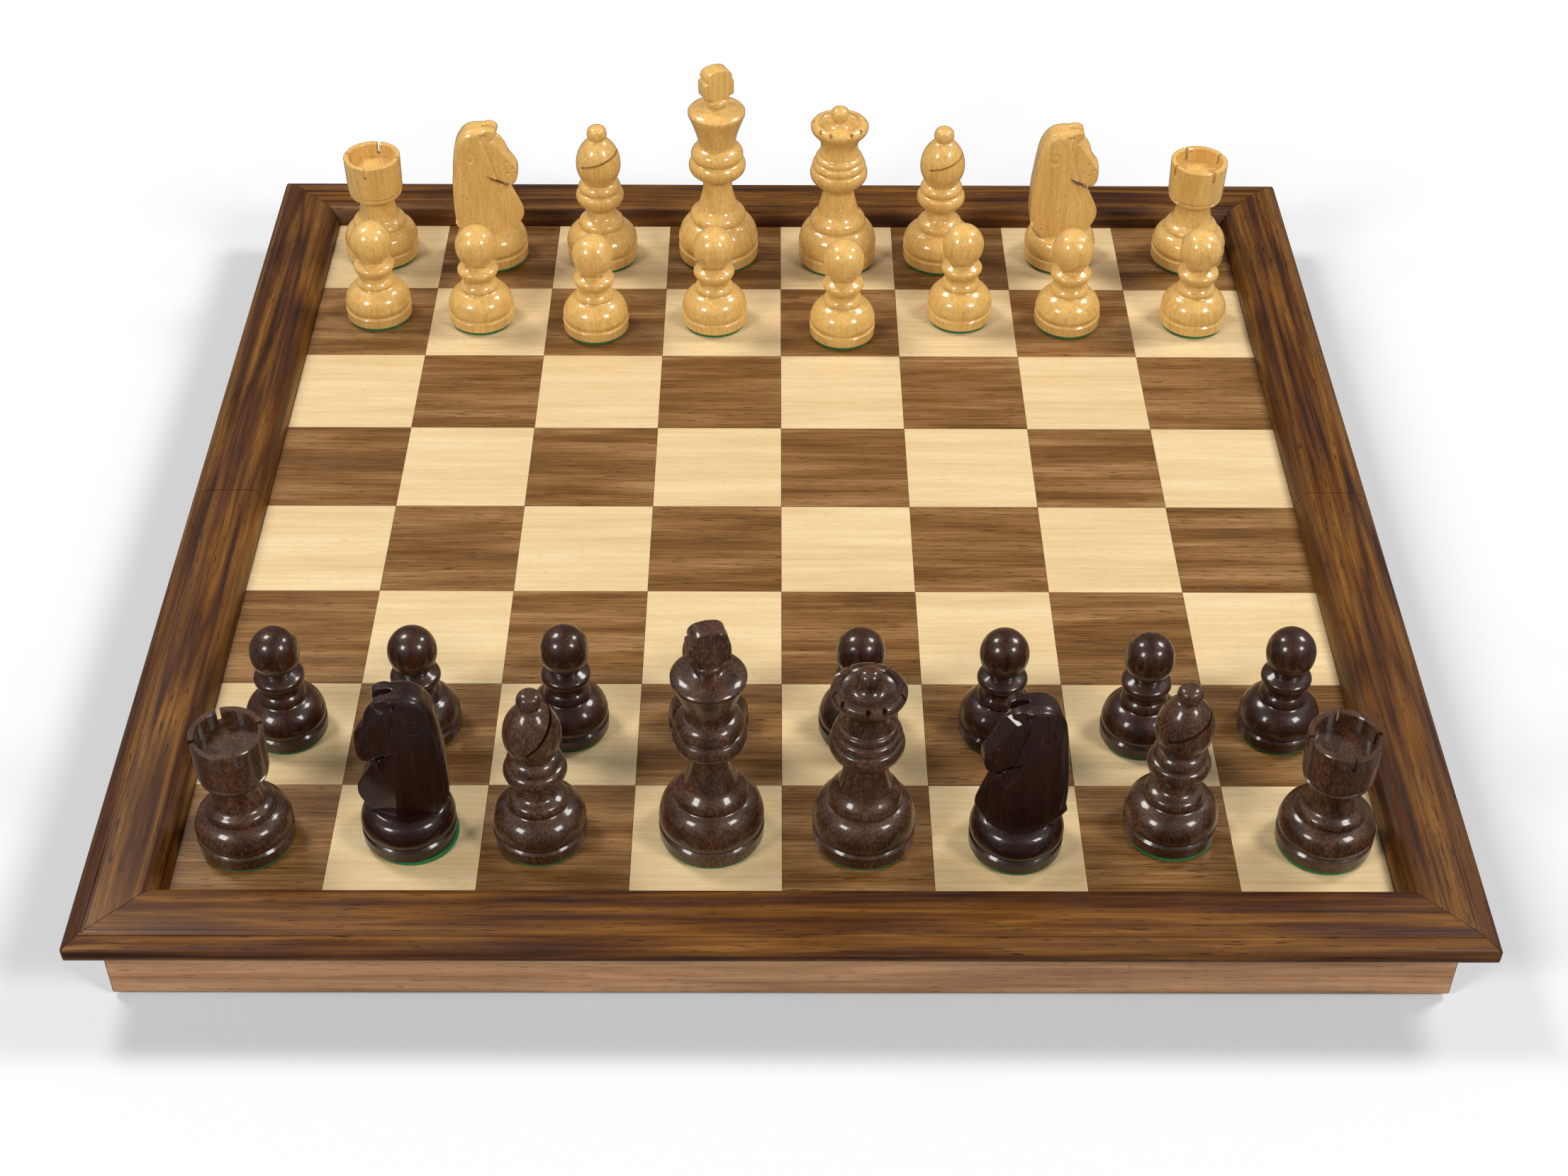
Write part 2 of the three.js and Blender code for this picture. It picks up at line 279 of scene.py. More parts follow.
def make_wood(name, colours, grain, figure, streak, pores, pore_colour, rough, coat, coat_rough,
              bands=3.0, ripple=0.0, tiled=False):
    """Lacquered wood. colours run from the darkest growth lines to the palest wood; figure, streak
    and pores are (across, along) in mm; ripple is how deep the lacquer follows the grain, in mm;
    tiled gives each square of the board its own cut."""
    material, shader = new_material(name)
    place = add_node(material, "TexCoord").outputs["Object"]
    if tiled:
        squares = add_node(material, "VectorMath", {0: place, 1: (1 / SQUARE, 1 / SQUARE, 0)},
                           operation="MULTIPLY").outputs["Vector"]
        tile = add_node(material, "VectorMath", {0: squares}, operation="FLOOR").outputs["Vector"]
        cut = add_node(material, "TexWhiteNoise", {"Vector": tile}, noise_dimensions="3D")
        place = add_node(material, "VectorMath", {0: cut.outputs["Color"], 1: (1, 1, 1), 2: place},
                         operation="MULTIPLY_ADD").outputs["Vector"]

    broad = add_node(material, "TexNoise", {
        "Vector": stretched(material, place, grain, *figure), "Scale": 1.0, "Detail": 2.0,
        "Roughness": 0.45, "Distortion": 0.35}).outputs["Fac"]
    rings = add_node(material, "Math", {0: broad, 1: 2 * bands}, operation="MULTIPLY").outputs[0]
    rings = add_node(material, "Math", {0: rings, 1: 1.0}, operation="PINGPONG").outputs[0]
    fine = add_node(material, "TexNoise", {
        "Vector": stretched(material, place, grain, *streak), "Scale": 1.0, "Detail": 5.0,
        "Roughness": 0.62}).outputs["Fac"]
    grain_mix = add_node(material, "Math", {0: rings, 1: RING_WEIGHT, 2: fine},
                         operation="MULTIPLY_ADD").outputs[0]
    last = len(colours) - 1
    wood = add_node(material, "ValToRGB", {"Fac": grain_mix}, [
        (DARKEST_AT + (1 - DARKEST_AT) * i / last, colour) for i, colour in enumerate(colours)
    ]).outputs["Color"]

    specks = add_node(material, "TexNoise", {
        "Vector": stretched(material, place, grain, *pores), "Scale": 1.0, "Detail": 2.0,
        "Roughness": 0.5}).outputs["Fac"]
    open_pores = add_node(material, "ValToRGB", {"Fac": specks},
                          [(PORE_EDGE[0], 0.0), (PORE_EDGE[1], 1.0)]).outputs["Color"]
    surface = add_node(material, "Mix", {0: open_pores, MIX_A: wood, MIX_B: linear(pore_colour)},
                       data_type="RGBA").outputs[MIX_RESULT]

    cloud = add_node(material, "TexNoise", {
        "Vector": stretched(material, place, grain, *SHINE_PATCH), "Scale": 1.0,
        "Detail": 3.0}).outputs["Fac"]
    shine = add_node(material, "MapRange", {"Value": cloud, "From Min": 0.3, "From Max": 0.7,
                                            "To Min": rough * 0.8, "To Max": rough * 1.2}).outputs[0]
    relief = add_node(material, "Bump", {"Height": open_pores, "Strength": 0.25, "Distance": 0.03 * MM},
                      invert=True).outputs["Normal"]
    if ripple:
        relief = add_node(material, "Bump", {"Height": fine, "Strength": 1.0, "Distance": ripple * MM,
                                             "Normal": relief}).outputs["Normal"]
    links = material.node_tree.links
    links.new(surface, shader.inputs["Base Color"])
    links.new(shine, shader.inputs["Roughness"])
    links.new(relief, shader.inputs["Normal"])
    shader.inputs["IOR"].default_value = 1.5
    shader.inputs["Specular IOR Level"].default_value = 0.25
    shader.inputs["Coat Weight"].default_value = coat
    shader.inputs["Coat Roughness"].default_value = coat_rough
    shader.inputs["Coat IOR"].default_value = 1.5
    return material


def make_felt(name, dark, light):
    """Pressed wool felt: matt and fuzzy, with random tone and painted shade: darker where the bump lies low.
    """
    material, shader = new_material(name)
    place = add_node(material, "TexCoord").outputs["Object"]
    fibres = add_node(material, "TexNoise", {"Vector": place, "Scale": 1 / FELT_TUFT, "Detail": 4.0,
                                             "Roughness": 0.7}).outputs["Fac"]
    # painted shade: the same noise raises the bump, so the low places between the fibres get the dark colour
    colour = add_node(material, "ValToRGB", {"Fac": fibres}, [(0.3, dark), (0.7, light)]).outputs["Color"]
    relief = add_node(material, "Bump", {"Height": fibres, "Strength": 0.5,
                                         "Distance": 0.15 * MM}).outputs["Normal"]
    links = material.node_tree.links
    links.new(colour, shader.inputs["Base Color"])
    links.new(relief, shader.inputs["Normal"])
    shader.inputs["Roughness"].default_value = 0.95
    shader.inputs["Sheen Weight"].default_value = 0.15
    shader.inputs["Sheen Roughness"].default_value = 0.5
    return material


def make_metal(name, dark, light, rough, scratch):
    """Bought-in metal part with fine rubbing marks; scratch is (across, along) in mm."""
    material, shader = new_material(name)
    place = add_node(material, "TexCoord").outputs["Object"]
    marks = add_node(material, "TexNoise", {
        "Vector": stretched(material, place, "X", *scratch), "Scale": 1.0, "Detail": 4.0}).outputs["Fac"]
    colour = add_node(material, "ValToRGB", {"Fac": marks}, [(0.35, dark), (0.65, light)]).outputs["Color"]
    shine = add_node(material, "MapRange", {"Value": marks, "From Min": 0.3, "From Max": 0.7,
                                            "To Min": rough * 0.75, "To Max": rough * 1.3}).outputs[0]
    links = material.node_tree.links
    links.new(colour, shader.inputs["Base Color"])
    links.new(shine, shader.inputs["Roughness"])
    shader.inputs["Metallic"].default_value = 1.0
    return material


def make_plywood(name, pale, dark, ply):
    """Plywood core: plies of the given mm, pale and dark in turn."""
    material, shader = new_material(name)
    place = add_node(material, "TexCoord").outputs["Object"]
    height = add_node(material, "SeparateXYZ", {"Vector": place}).outputs["Z"]
    layer = add_node(material, "Math", {0: height, 1: ply * MM}, operation="PINGPONG").outputs[0]
    share = add_node(material, "Math", {0: layer, 1: ply * MM}, operation="DIVIDE").outputs[0]
    fibres = add_node(material, "TexNoise", {
        "Vector": stretched(material, place, "X", 0.6, 14), "Scale": 1.0, "Detail": 4.0}).outputs["Fac"]
    mixed = add_node(material, "Math", {0: fibres, 1: 0.5, 2: share}, operation="MULTIPLY_ADD").outputs[0]
    colour = add_node(material, "ValToRGB", {"Fac": mixed}, [(0.55, dark), (0.95, pale)]).outputs["Color"]
    material.node_tree.links.new(colour, shader.inputs["Base Color"])
    shader.inputs["Roughness"].default_value = 0.75
    return material


def finish_with(piece, material):
    piece.data.materials.clear()
    piece.data.materials.append(material)


# European walnut, solid, satin lacquer: dark growth lines run along the bar under a soft shine
WALNUT_RAIL = dict(colours=["#240e00", "#452204", "#5d380a", "#784e1a"], figure=(9, 150),
                   streak=(1.6, 60), pores=(0.45, 7), pore_colour="#1f0d03", rough=0.45, coat=0.25,
                   coat_rough=0.25, bands=3.5)
walnut_along_x = make_wood("walnut_lacquered_along_x", grain="X", **WALNUT_RAIL)
walnut_along_y = make_wood("walnut_lacquered_along_y", grain="Y", **WALNUT_RAIL)
# European walnut with pale sapwood, satin lacquer: light brown, the lines fainter than the moulding's
WALNUT_WALL = dict(colours=["#835e3f", "#9a7250", "#ac825e", "#bb926d"], figure=(6, 120),
                   streak=(1.2, 50), pores=(0.4, 6), pore_colour="#5e3f27", rough=0.5, coat=0.2,
                   coat_rough=0.3, bands=3.0)
wall_along_x = make_wood("walnut_wall_along_x", grain="X", **WALNUT_WALL)
wall_along_y = make_wood("walnut_wall_along_y", grain="Y", **WALNUT_WALL)
# American walnut veneer, satin lacquer: mid brown with fine dark pores, each square cut from its own
# place in the sheet
walnut_veneer = make_wood(
    "walnut_veneer", ["#4f310f", "#68451e", "#7f5b33", "#96734c"], "X", figure=(7, 90), streak=(0.7, 25),
    pores=(0.5, 7), pore_colour="#3c2410", rough=0.45, coat=0.25, coat_rough=0.25, bands=1.5, tiled=True)
# Hard maple veneer, satin lacquer: cream and nearly plain, with short tan flecks
maple_veneer = make_wood(
    "maple_veneer", ["#c0a57a", "#c8af84", "#ceb78e", "#d4bf97"], "X", figure=(9, 110), streak=(1.1, 32),
    pores=(0.3, 3), pore_colour="#c39f6a", rough=0.45, coat=0.25, coat_rough=0.25, bands=1.5, tiled=True)
# Boxwood, turned, gloss lacquer: even honey yellow, with small sharp highlights
boxwood = make_wood(
    "boxwood_gloss", ["#b98a42", "#c59851", "#cfa55d", "#d9b26c"], "Z", figure=(6, 60), streak=(1.0, 14),
    pores=(0.4, 0.9), pore_colour="#a3752f", rough=0.4, coat=0.7, coat_rough=0.1, bands=1.0,
    ripple=0.06)
# Hardwood, turned, stained and gloss lacquered. The stain took unevenly: mottled brown on the large
# pieces, redder on the pawns, almost black on the knights. Highlights are sharp and a little broken.
STAINED = dict(grain="Z", figure=(6, 60), pores=(0.35, 1.2), rough=0.4, coat=0.6, coat_rough=0.12, bands=0.8,
               ripple=0.12)
dark_wood = make_wood("dark_stained_gloss", ["#080100", "#1e0b03", "#3a2010", "#583b29"],
                      pore_colour="#160802", streak=(0.6, 1.6), **STAINED)
dark_pawn_wood = make_wood("dark_stained_red_gloss", ["#0f0200", "#1e0801", "#2c1105", "#40200d"],
                           pore_colour="#120501", streak=(0.9, 8), **STAINED)
dark_knight_wood = make_wood("dark_stained_black_gloss", ["#090100", "#120301", "#1c0602", "#2a0e06"],
                             pore_colour="#090201", streak=(0.9, 8), **STAINED)
# Pressed wool felt: matt mid green with random tone, and painted shade: darker between the fibres, where the
# bump lies low
green_felt = make_felt("green_wool_felt", "#0a5728", "#11793a")
# Yellow brass, polished, then rubbed by use: bright, with fine streaks along the hinge
brass = make_metal("polished_brass", "#a9823f", "#c9a35a", 0.28, (0.08, 4))
# Nickel plating on the magnets: bright grey, slightly speckled
nickel = make_metal("nickel_plating", "#b4b4b2", "#cfcfcd", 0.2, (0.1, 0.6))
# Birch plywood, bare: matt, pale and dark plies showing at the edges
birch_plywood = make_plywood("birch_plywood", "#c7a677", "#9c7849", 1.1)


# ---------- chess pieces ----------
# Outlines are [radius, height] in mm above the underside of the felt; the wood starts on the felt.

FELT_HEIGHT = 1.2
FELT_INSET = 0.7
BASE_RADIUS = {"king": 15.6, "queen": 15.2, "bishop": 13.8, "knight": 13.9, "rook": 14.3, "pawn": 12.4}
PAWN_HEAD = {"light": 7.7, "dark": 7.5}


def plinth(kind, top):
    """The lowest disc, up to the given height."""
    radius = BASE_RADIUS[kind]
    return [[(0, FELT_HEIGHT)],
            [(radius - 0.4, FELT_HEIGHT), (radius - 0.1, FELT_HEIGHT + 0.3)],
            [(radius, top - 0.35), (radius - 0.3, top)]]


KING = plinth("king", 5.6) + [
    [(14.8, 6.1)],
    [(15.0, 6.4), (15.45, 7.6), (15.5, 9.5), (14.6, 13), (12.7, 15.7), (10.8, 17.0)],
    [(10.6, 17.3), (10.9, 18.5), (10.4, 20.1), (8.8, 21.8)],
    [(7.9, 22.6), (6.6, 26.5), (5.8, 30), (5.4, 34)],
    [(6.0, 35.8), (8.2, 36.8), (10.2, 38.6), (10.9, 40.6), (10.7, 42.2), (9.9, 43.4)],
    [(9.1, 43.8), (9.9, 45.1), (9.9, 46.5), (9.2, 48.0), (8.2, 49.0), (7.2, 49.6)],
    [(6.9, 50.5), (7.8, 54.5), (9.2, 58.8), (10.9, 63.2)],
    [(10.9, 64.1), (10.2, 64.9)],
    [(8, 65.6), (5, 66.2), (4, 66.6)],
    [(4.2, 67.0), (4.7, 68.3), (4.3, 69.5), (3.3, 70.1)],
    [(0, 70.3)],
]
CROSS_HALF = [[(2.9, 69)], [(3.4, 70.2), (4.1, 71.1)], [(5.9, 71.6)], [(6.0, 77.2)], [(4.6, 77.9)],
              [(5.3, 78.8), (4.9, 80.3), (3.2, 81.7), (0, 82.2)]]
CROSS_THICKNESS = 6.4
CROSS_TURN = {"light": 27, "dark": 14}
QUEEN = plinth("queen", 5.8) + [
    [(14.5, 6.2)],
    [(14.7, 6.5), (15.1, 7.7), (15.1, 9.5), (14.2, 12.8), (12.6, 15.1), (10.9, 16.2)],
    [(10.7, 16.6), (10.9, 17.8), (10.3, 19.5), (9, 21)],
    [(7.9, 22.2), (6.9, 26.5), (6.1, 30), (5.8, 31.8)],
    [(6.4, 33.4), (8.6, 34.8), (10.4, 36.9), (11, 39.1), (10.7, 40.7), (10.2, 41.3)],
    [(9.7, 41.6), (10.2, 42.6), (9.9, 43.9), (9.3, 44.5)],
    [(8.9, 44.8), (9.1, 45.6), (8.7, 46.6), (8, 47.1)],
    [(7.7, 47.4), (7.4, 48.6), (7.1, 49.6)],
    [(7, 51), (7.3, 53), (8.5, 55.2), (10.5, 57.5), (11, 59.3), (10.4, 60.4)],
    [(9.6, 60.9), (8.3, 60.9)],
    [(7.7, 60.1), (5.9, 59.5), (4.3, 59.8), (3.1, 60.8), (2.6, 61.9)],
    [(3.2, 62.7), (3.55, 64.3), (3.0, 66.0), (1.6, 67.0), (0, 67.2)],
]
BISHOP = plinth("bishop", 5.4) + [
    [(13.1, 5.8)],
    [(13.3, 6.1), (13.75, 7.2), (13.8, 8.6), (13, 11.2), (11.1, 13.4), (8.9, 14.6)],
    [(8.6, 15), (8.8, 16.3), (8.2, 17.7), (6.4, 18.8)],
    [(5.6, 19.5), (4.9, 21.3), (4.8, 22.4)],
    [(5.8, 23.9), (7.8, 25.1), (9.1, 27.0), (9.3, 28.6), (8.9, 29.9), (8.2, 30.6)],
    [(7.5, 30.9), (8.1, 31.8), (7.9, 33.1), (7.1, 34.2), (6.3, 34.8)],
    [(7, 36.5), (8.2, 39.5), (8.5, 42.5), (8, 46), (6.6, 49.2), (4.8, 51.5), (3.6, 52.6), (2.9, 53)],
    [(3.4, 53.6), (3.75, 55.1), (3.2, 57.1), (1.8, 58), (0, 58.2)],
]
ROOK = plinth("rook", 5.6) + [
    [(13.6, 6)],
    [(13.8, 6.3), (14.2, 7.4), (14.2, 8.8), (13.2, 11.6), (11.7, 13.2), (10.4, 14)],
    [(10.2, 14.4), (10.3, 15.3), (9.8, 16.4), (8.6, 17.4)],
    [(7.9, 18), (7.3, 20), (6.8, 23), (6.7, 25.5)],
    [(8, 27.0), (9.7, 27.9), (10.1, 29.0)],
    [(9.5, 29.4)], [(9.5, 29.9)], [(10.4, 30.3)],
    [(10.45, 31), (10.6, 37), (10.75, 43.9)],
    [(10.5, 44.2)], [(9.1, 44.2)], [(8.8, 43.8)], [(8.6, 38.6)], [(0, 38.4)],
]


def pawn_outline(head):
    """head is the head's radius."""
    return plinth("pawn", 5.2) + [
        [(11.7, 5.6)],
        [(11.9, 5.9), (12.2, 6.9), (12.2, 8.2), (11.2, 11), (9.3, 13.2), (7.4, 14.4)],
        [(7.1, 14.8), (7.3, 15.8), (6.7, 17), (6, 17.8)],
        [(5.8, 19)],
        [(6.6, 20.2), (7.5, 21.7), (7.7, 22.8), (7.2, 23.8), (5.6, 24.8)],
        [(4.6, 25.4), (0.86 * head, 28), (head, 32), (0.93 * head, 35.8), (0.66 * head, 38.8),
         (0.3 * head, 40.2), (0, 40.5)],
    ]


KNIGHT_FOOT = plinth("knight", 5.4) + [
    [(13.2, 5.8)],
    [(13.4, 6.1), (13.85, 7.2), (13.9, 8.6), (13.2, 11), (11.9, 12.9), (10.2, 13.9)],
    [(9.4, 14.1)], [(0, 14.1)],
]
# Side view of the carved head and chest, [forward, height]
KNIGHT = [
    [(-10.5, 13.9), (-12.4, 17.2), (-13.0, 21.5), (-13.1, 27.3), (-12.9, 34.4), (-12.5, 38.4), (-11.8, 45),
     (-10.6, 51.5), (-8, 56), (-4.5, 58), (0.3, 58.3)],
    [(3.4, 58.1), (5.0, 57.3), (5.3, 56.2), (5.5, 55)],
    [(6.4, 54.0), (7.9, 51.7), (8.6, 49.2), (9.2, 47.2), (10.3, 45.9), (11.5, 44.3), (12.1, 42),
     (12.2, 38.6)],
    [(12.0, 36.6), (11, 34.7), (9.5, 33.9)],
    [(7, 34.4), (4.9, 35.9), (3.0, 37.4), (1.3, 39)],
    [(2.6, 36.6), (4.6, 34.4), (7.0, 33.0), (8.6, 32.0)],
    [(10.7, 27.9), (12.9, 23.4), (13.4, 20.3), (12.8, 17.8), (10.8, 15), (10.2, 13.9)],
]
KERF_SLOPE = {"light": 18, "dark": 26, "dark_left": 44}
PLANK = 15 * MM                          # wood that the knight's head is carved from
CREST_ROUND = 3 * MM
REMESH = 0.24 * MM                       # size of the carved surface's faces
# How each piece was set down, in degrees about its axis; pads glued off centre, in mm
PIECE_TURNS = {
    "light": {"rook_left": -8, "rook_right": 25, "bishop_right": 8, "queen": 20},
    "dark": {"knight_left": 190, "knight_right": 190, "rook_left": 23, "rook_right": 3,
             "bishop_left": 26, "queen": -8},
}
FELT_SHIFTS = {"dark_knight_left": (1.2, -0.5), "dark_bishop_right": (0.2, -0.6),
               "dark_rook_right": (-0.3, -0.3)}


def felt_pad(name, radius, place):
    """Felt disc under a chess piece: radius of the plinth in mm, place of the disc's underside."""
    pad = turn(name, [[(0, 0)], [(radius - FELT_INSET - 0.2, 0)], [(radius - FELT_INSET, 0.25)],
                      [(radius - FELT_INSET, FELT_HEIGHT)], [(0, FELT_HEIGHT)]])
    pad.data.transform(Matrix.Translation(place))
    smooth(pad)
    finish_with(pad, green_felt)
    return pad


def model_king(turned):
    piece = turn("king", KING)
    half = outline(CROSS_HALF, 5)
    points = half + [Vector((-p.x, p.y)) for p in reversed(half[:-1])]
    back = -CROSS_THICKNESS / 2 * MM
    cross = slab("cross", [Vector((p.x, back, p.y)) for p in points], Vector((0, CROSS_THICKNESS * MM, 0)))
    set_modifier(cross, "BEVEL", width=0.35 * MM, segments=2, limit_method="ANGLE", angle_limit=radians(50))
    cross.data.transform(about_z(turned))
    combine(piece, cross, "UNION")
    return piece


def model_queen():
    """The coronet's rim has ten small notches, in five pairs."""
    piece = turn("queen", QUEEN)
    inner, outer, half_side, height = 9.4 * MM, 13 * MM, 0.75 * MM, 60.2 * MM
    notch = block("notch", (inner, -half_side, -half_side), (outer, half_side, half_side))
    edit(notch)
    bpy.ops.transform.rotate(value=radians(45), orient_axis="X", center_override=(0, 0, 0))
    bpy.ops.transform.translate(value=(0, 0, height))
    leave()
    pairs, from_pair_middle = 5, 13
    angles = [360 / pairs * i + side * from_pair_middle for i in range(pairs) for side in (-1, 1)]
    notches = [twin(notch, f"notch_{i}", about_z(angle)) for i, angle in enumerate(angles)]
    bpy.data.objects.remove(notch)
    combine(piece, join(notches))
    return piece


def model_bishop(kerf_slope):
    """The mitre's kerf rises to one side, by the given degrees."""
    piece = turn("bishop", BISHOP)
    stops_at, reach, half_width, height = 6.2 * MM, 16 * MM, 0.5 * MM, 45.4 * MM
    kerf = block("kerf", (-stops_at, -reach, -half_width), (reach, reach, half_width))
    edit(kerf)
    bpy.ops.transform.rotate(value=radians(kerf_slope), orient_axis="Y", center_override=(0, 0, 0))
    bpy.ops.transform.translate(value=(0, 0, height))
    leave()
    combine(piece, kerf)
    return piece


def model_rook():
    """Two saw cuts across the cup make its four slots."""
    piece = turn("rook", ROOK)
    reach, half_width, bottom, top = 14 * MM, 0.65 * MM, 39.7 * MM, 46 * MM
    for x, y in ((reach, half_width), (half_width, reach)):
        combine(piece, block("slot", (-x, -y, bottom), (x, y, top)))
    return piece


def pyramid(name, corners, apex):
    """A cutter with its point inside the work: corners and apex in mm."""
    corners = [Vector(corner) * MM for corner in corners]
    piece = trace(name, corners)
    edit(piece)
    bpy.ops.mesh.edge_face_add()
    middle = sum(corners, Vector()) / len(corners)
    bpy.ops.mesh.extrude_region_move(TRANSFORM_OT_translate={"value": Vector(apex) * MM - middle})
    bpy.ops.mesh.merge(type="CENTER")
    bpy.ops.mesh.select_all(action="SELECT")
    bpy.ops.mesh.normals_make_consistent(inside=False)
    leave()
    return piece


def wedge(name, low_corner, high_corner, planes):
    """A block in mm, planed down to the inner side of each (point, normal)."""
    piece = block(name, Vector(low_corner) * MM, Vector(high_corner) * MM)
    for point, normal in planes:
        trim(piece, Vector(point) * MM, normal)
    return piece


def round_crest(piece, width):
    """Rounds the plank's edges along the mane and over the head, as far as the ears."""
    foot, mane, crown, ears = 14.5 * MM, -6 * MM, 50 * MM, 1.5 * MM
    edit(piece)
    bpy.ops.mesh.select_mode(type="EDGE")
    bpy.ops.mesh.select_all(action="DESELECT")
    bpy.ops.mesh.edges_select_sharp(sharpness=radians(60))
    leave()
    for edge in piece.data.edges:
        ends = [piece.data.vertices[i].co for i in edge.vertices]
        along = ends[0].y * ends[1].y > 0
        behind = all(e.z > foot and (e.x < mane or (e.z > crown and e.x < ears)) for e in ends)
        edge.select = edge.select and along and behind
    bpy.ops.object.mode_set(mode="EDIT")
    bpy.ops.mesh.bevel(offset=width, segments=4, profile=0.5)
    bpy.ops.mesh.select_mode(type="VERT")
    leave()


def knight_planes():
    """Cutters that face one side of the head and chest."""
    ear_front = ((5.2, 0, 55.5), (-0.5, 0, 0.87))
    return [
        # sides of the muzzle, stepped in from the cheek, above the jaw
        wedge("muzzle_side", (0, 0, 30), (16, 12, 60), [
            ((2.6, 4.3, 44), (-0.2, -0.98, 0)), ((2.6, 0, 44), (-1, 0, -0.25)),
            ((1.3, 0, 38.2), (-0.51, 0, -0.86))]),
        # front of the chest, below the jaw
        wedge("chest_front", (0, 0, 10), (16, 12, 42), [
            ((2.4, 6.0, 30), (-0.5, -0.86, -0.06)), ((1.3, 0, 38.9), (0.51, 0, 0.86))]),
        # facets from the ridge of the nose back to the cheek, and up to the ear
        wedge("forehead", (-4, 0, 38), (16, 12, 64), [
            ((5.5, 0.4, 54.4), (-0.5, -0.55, -0.67)), ear_front]),
        wedge("nose_side", (-4, 0, 38), (16, 12, 64), [
            ((5.7, 0.6, 54.6), (-0.7, -0.59, -0.39)), ear_front]),
        pyramid("under_jaw", ((-2.5, 9, 42.5), (13, 9, 33), (6.3, 9, 15)), (5.5, 1.2, 35.4)),
        pyramid("ear_hollow", ((-5.6, 8, 59.8), (7.2, 8, 58.6), (-0.4, 8, 49.5)), (0.6, 3.2, 55.4)),
    ]


def knight_engraving():
    """Cutters for one side's eye rings, nostril dots and mane."""
    tools = []
    eye_middle = (-5.2 * MM, 5.85 * MM, 47.6 * MM)
    for ring, (wide, tall) in enumerate(((0.9, 1.25), (1.55, 2.05))):
        eye = start(bpy.ops.mesh.primitive_torus_add, f"eye_{ring}", major_radius=MM,
                    minor_radius=0.4 * MM, major_segments=32, minor_segments=8,
                    location=eye_middle, rotation=(radians(90), 0, 0))
        edit(eye)
        bpy.ops.transform.resize(value=(wide, 1, tall), center_override=eye_middle)
        leave()
        tools.append(eye)
    for x, y, z in ((8.4, 3.2, 44.0), (10.9, 2.7, 40.8), (8.8, 3.1, 38.9)):
        tools.append(start(bpy.ops.mesh.primitive_uv_sphere_add, "dot", segments=12, ring_count=8,
                           radius=0.6 * MM, location=(x * MM, y * MM, z * MM)))
    half_width, bottom = 0.17, 19 * MM
    for line in range(5):
        x, y, top = -12.3 + 0.7 * line, 4.4 + 0.62 * line, (43 + line) * MM
        tools.append(block("mane_cut", ((x - half_width) * MM, (y - 0.2) * MM, bottom),
                           ((x + half_width) * MM, (y + 0.6) * MM, top)))
    return tools


def mirror_over(tool):
    """Takes a cutter to the other side of the head."""
    edit(tool)
    bpy.ops.transform.mirror(constraint_axis=(False, True, False), center_override=(0, 0, 0))
    bpy.ops.mesh.select_all(action="SELECT")
    bpy.ops.mesh.normals_make_consistent(inside=False)
    leave()


def carve_knight():
    """Head and chest, cut from a plank with flat planes, then hollowed, engraved and rubbed smooth."""
    piece = slab("knight_head", [Vector((p.x, -PLANK / 2, p.y)) for p in outline(KNIGHT, 5)],
                 Vector((0, PLANK, 0)))
    for side in (-1, 1):
        cuts = [((0, 7.3, 14), (0, 1, 0.045)),           # the neck thins towards the ears
                ((1.6, 7.0, 15), (0.24, 1, 0.045)),      # cheek and chest fall away from the arris
                ((-9.6, 6.9, 15), (-0.7, 0.7, -0.55))]   # back corners taper to the foot
        for (x, y, z), (nx, ny, nz) in cuts:
            trim(piece, Vector((x, side * y, z)) * MM, (nx, side * ny, nz))
    round_crest(piece, CREST_ROUND)
    combine(piece, pyramid("ear_notch", ((7.5, -2.6, 60.5), (7.5, 2.6, 60.5), (7.5, 0, 52.8)),
                           (-3.0, 0, 57.2)))
    for side in (-1, 1):
        for tool in knight_planes() + knight_engraving():
            if side < 0:
                mirror_over(tool)
            combine(piece, tool)
    set_modifier(piece, "REMESH", mode="VOXEL", voxel_size=REMESH)
    set_modifier(piece, "SMOOTH", factor=0.4, iterations=1)
    set_modifier(piece, "DECIMATE", ratio=0.5)
    return piece


def model_knight():
    return join([turn("knight", KNIGHT_FOOT), carve_knight()])


def model_army(army):
    """One piece of each kind, and one of each place that has its own."""
    masters = {"king": model_king(CROSS_TURN[army]), "queen": model_queen(),
               "bishop": model_bishop(KERF_SLOPE[army]), "knight": model_knight(),
               "rook": model_rook(), "pawn": turn("pawn", pawn_outline(PAWN_HEAD[army]), steps=48)}
    if army == "dark":
        masters["bishop_left"] = model_bishop(KERF_SLOPE["dark_left"])
    return masters


def stand_army(army, masters, wood_of):
    """Sets a copy of the right master, and its felt, on each of an army's places."""
    for node in sorted(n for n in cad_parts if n.startswith(army + "_")):
        kind = node.split("_")[1]
        own_name = node[len(army) + 1:]
        master = masters.get(own_name) or masters[kind]
        place = foot_centre(node)
        piece = twin(master, "wood_" + node, about_z(PIECE_TURNS[army].get(own_name, 0), place))
        finish_with(piece, wood_of.get(kind, wood_of["other"]))
        smooth(piece)
        shift = Vector((*FELT_SHIFTS.get(node, (0, 0)), 0)) * MM
        pad = felt_pad("felt_" + node, BASE_RADIUS[kind], place + shift)
        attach(piece, node)
        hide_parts(node)
        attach(pad, node)
    for master in masters.values():
        bpy.data.objects.remove(master)


stand_army("light", model_army("light"), {"other": boxwood})
stand_army("dark", model_army("dark"),
           {"other": dark_wood, "pawn": dark_pawn_wood, "knight": dark_knight_wood})


# ---------- board ----------
# One half is modelled over +Y; each piece's twin for the near half is turned half round about Z.

